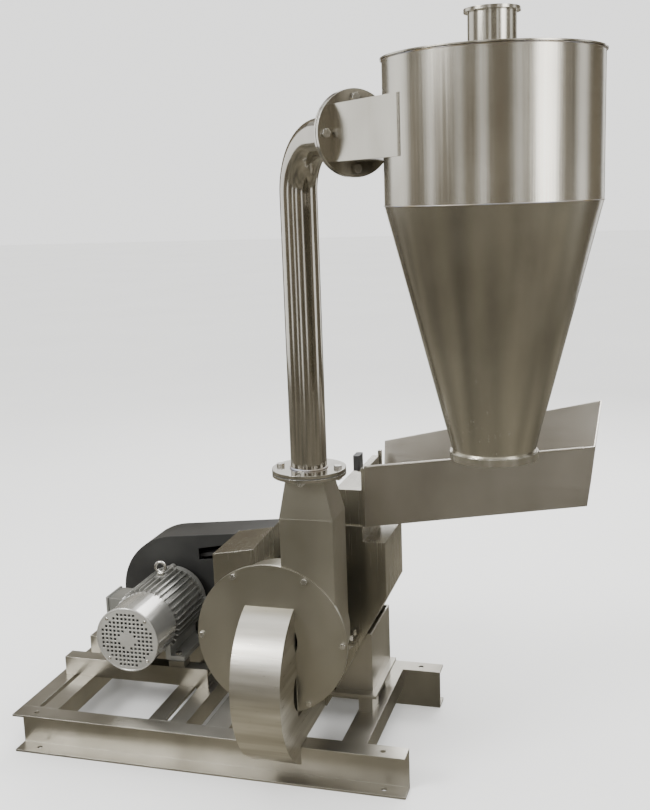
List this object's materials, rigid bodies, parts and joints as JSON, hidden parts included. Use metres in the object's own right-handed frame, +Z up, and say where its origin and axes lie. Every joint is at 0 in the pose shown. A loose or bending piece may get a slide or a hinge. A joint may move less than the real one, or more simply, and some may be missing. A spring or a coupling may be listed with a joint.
{
  "type": "hammer mill",
  "caption": "Stainless hammer mill on a channel base, with belt-driven swinging-hammer rotor, feed tray, blower, riser pipe and cyclone separator.",
  "frame": {"origin": "on the floor, at the centre of the four floor bolt holes in the base rails", "axes": "+Z up, +X along the rails from the motor towards the cyclone, +Y towards the belt guard at the back"},
  "size_m": [1.4233, 0.9846, 1.652],
  "materials": {
    "frame_steel": "polished stainless channel",
    "housing_steel": "polished stainless plate",
    "tray_steel": "brushed stainless sheet",
    "blower_steel": "brushed stainless sheet",
    "pipe_steel": "polished stainless tube",
    "cyclone_steel": "brushed stainless sheet",
    "motor_paint": "silver paint",
    "cowl_paint": "glossy silver paint",
    "fan_plastic": "moulded black",
    "bright_steel": "ground steel",
    "hammer_steel": "hardened bar",
    "cast_grey": "painted casting",
    "fastener_steel": "stainless fasteners",
    "gasket_rubber": "black sheet rubber",
    "belt_rubber": "black V-belt",
    "grip_rubber": "black moulded rubber",
    "guard_paint": "dark grey paint"
  },
  "bodies": {
    "machine": {"bearing_blocks": "cast_grey", "bearing_brackets": "housing_steel", "bearings": "bright_steel", "blower_cover": "blower_steel", "blower_housing": "blower_steel", "blower_spacers": "housing_steel", "breaker_plate": "hammer_steel", "cover_bolts": "fastener_steel", "cyclone_barrel": "cyclone_steel", "cyclone_cone": "cyclone_steel", "cyclone_lid": "cyclone_steel", "cyclone_vent_tube": "cyclone_steel", "drive_belts": "belt_rubber", "feed_throat": "housing_steel", "feed_tray": "tray_steel", "front_end_plate": "housing_steel", "front_rail": "frame_steel", "guard_brackets": "guard_paint", "guard_cover": "guard_paint", "guard_front_plate": "guard_paint", "housing_shell": "housing_steel", "inlet_duct": "cyclone_steel", "intake_duct": "blower_steel", "joint_bolts": "fastener_steel", "joint_flanges": "pipe_steel", "joint_gaskets": "gasket_rubber", "mill_bolts": "fastener_steel", "mill_members": "frame_steel", "mill_stand": "frame_steel", "motor_bars": "frame_steel", "motor_body": "motor_paint", "motor_cowl": "cowl_paint", "motor_end_shield": "motor_paint", "motor_eye_bolt": "fastener_steel", "motor_members": "frame_steel", "motor_mount_bolts": "fastener_steel", "motor_packers": "frame_steel", "motor_terminal_box": "motor_paint", "outlet_transition": "blower_steel", "rear_end_plate": "housing_steel", "rear_rail": "frame_steel", "riser_pipe": "pipe_steel", "screen": "bright_steel", "stand_blocks": "frame_steel"},
    "mill_rotor": {"rotor_shaft": "bright_steel", "rotor_discs": "bright_steel", "hammer_pins": "bright_steel", "hammer_spacers": "bright_steel", "fan_wheel": "bright_steel", "fan_nut": "fastener_steel", "mill_pulley": "cast_grey"},
    "motor_rotor": {"motor_shaft": "bright_steel", "motor_cooling_fan": "fan_plastic", "motor_pulley": "cast_grey"},
    "gate": {"feed_gate": "housing_steel", "gate_grip": "grip_rubber"},
    "hammer_row_1": {"hammers_row_1": "hammer_steel"},
    "hammer_row_2": {"hammers_row_2": "hammer_steel"},
    "hammer_row_3": {"hammers_row_3": "hammer_steel"},
    "hammer_row_4": {"hammers_row_4": "hammer_steel"}
  },
  "joints": [
    {"name": "rotor_spin", "type": "hinge", "parent": "machine", "child": "mill_rotor", "pos_m": [0.2, 0, 0.363], "axis": [0, 1, 0], "continuous": true},
    {"name": "motor_spin", "type": "hinge", "parent": "machine", "child": "motor_rotor", "pos_m": [-0.236, 0, 0.265], "axis": [0, 1, 0], "continuous": true},
    {"name": "gate_lift", "type": "slide", "parent": "machine", "child": "gate", "axis": [0, 0, 1], "range_m": [0, 0.0755]},
    {"name": "hammer_swing_1", "type": "hinge", "parent": "mill_rotor", "child": "hammer_row_1", "pos_m": [0.25091, 0.04, 0.41391], "axis": [0, 1, 0], "range_deg": [-85, 85]},
    {"name": "hammer_swing_2", "type": "hinge", "parent": "mill_rotor", "child": "hammer_row_2", "pos_m": [0.14909, 0.04, 0.41391], "axis": [0, 1, 0], "range_deg": [-85, 85]},
    {"name": "hammer_swing_3", "type": "hinge", "parent": "mill_rotor", "child": "hammer_row_3", "pos_m": [0.14909, 0.04, 0.31209], "axis": [0, 1, 0], "range_deg": [-85, 85]},
    {"name": "hammer_swing_4", "type": "hinge", "parent": "mill_rotor", "child": "hammer_row_4", "pos_m": [0.25091, 0.04, 0.31209], "axis": [0, 1, 0], "range_deg": [-85, 85]}
  ],
  "couplings": [
    {"joint": "motor_spin", "follows": "rotor_spin", "ratio": 0.7867}
  ]
}
